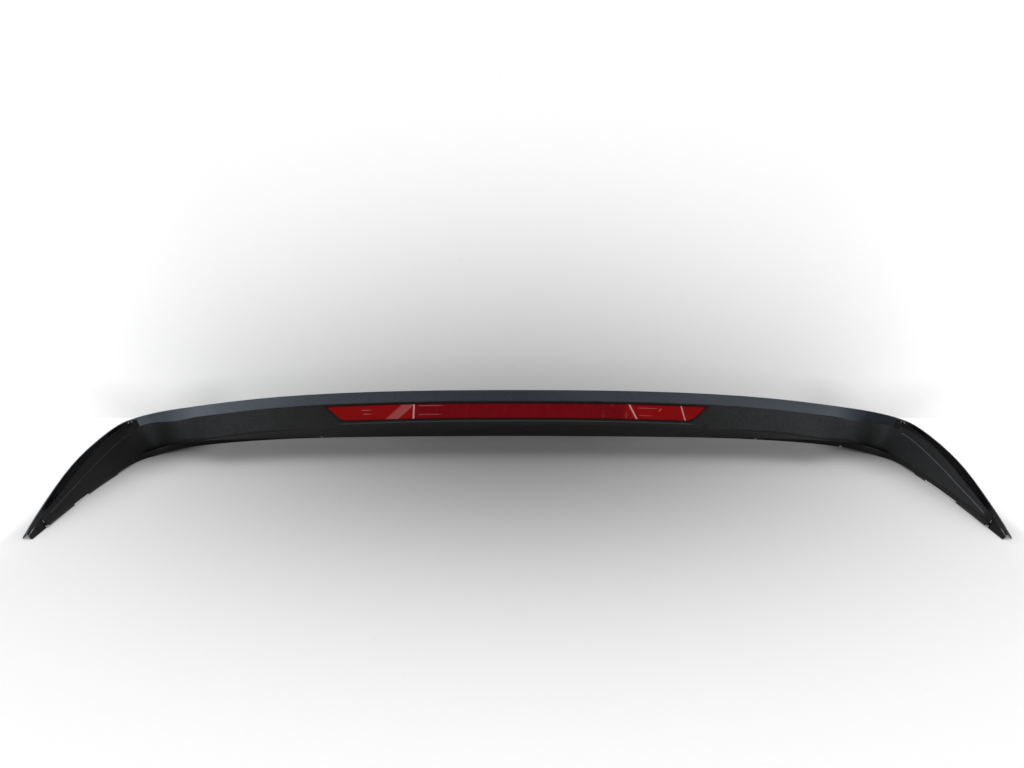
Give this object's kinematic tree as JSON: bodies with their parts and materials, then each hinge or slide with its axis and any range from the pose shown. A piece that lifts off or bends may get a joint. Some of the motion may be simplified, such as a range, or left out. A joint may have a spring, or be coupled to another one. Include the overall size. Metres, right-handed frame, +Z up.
{
  "type": "car rear spoiler",
  "caption": "Tailgate roof spoiler with side fins, a painted skin, a grained inner panel and a red brake lamp, fixed by studs under its hollow",
  "frame": {"origin": "On the resting plane, under the middle of the whole spoiler", "axes": "X along the spoiler from fin to fin, Y from the fin tips to the leading edge, Z up from the plane of the rear window to the trailing edge"},
  "size_m": [1.2356, 0.4037, 0.1026],
  "materials": {
    "painted_skin": "dark blue-grey metallic paint, dusty",
    "grained_plastic": "fine leather-like grain, unpainted",
    "red_lens": "clear red moulding, polished face",
    "lamp_tray": "dark moulded tray",
    "reflector": "bright metallised moulding",
    "board": "lacquered circuit board",
    "light_chip": "moulded light chips",
    "gasket_foam": "closed-cell foam",
    "seal_rubber": "soft rubber",
    "steel": "zinc-plated",
    "connector_plastic": "moulded socket",
    "terminal_brass": "tinned brass blades",
    "bracket_plastic": "ribbed moulding",
    "tape": "foam tape with a pale liner edge",
    "end_cap_plastic": "gloss black moulding"
  },
  "bodies": {
    "root": {"upper_skin": "painted_skin", "lower_panel": "grained_plastic", "lamp_lens": "red_lens", "lamp_housing": "lamp_tray", "lamp_gasket": "gasket_foam", "lamp_reflector": "reflector", "lamp_circuit_board": "board", "lamp_leds": "light_chip", "lamp_screws": "steel", "lamp_connector": "connector_plastic", "connector_terminals": "terminal_brass", "inner_bracket_left": "bracket_plastic", "inner_bracket_right": "bracket_plastic", "outer_bracket_left": "bracket_plastic", "outer_bracket_right": "bracket_plastic", "mount_studs": "steel", "stud_seals": "gasket_foam", "leading_edge_seal": "seal_rubber", "lower_edge_seal": "gasket_foam", "fin_tape_left": "tape", "fin_tape_right": "tape", "fin_end_cap_left": "end_cap_plastic", "fin_end_cap_right": "end_cap_plastic"}
  },
  "joints": []
}
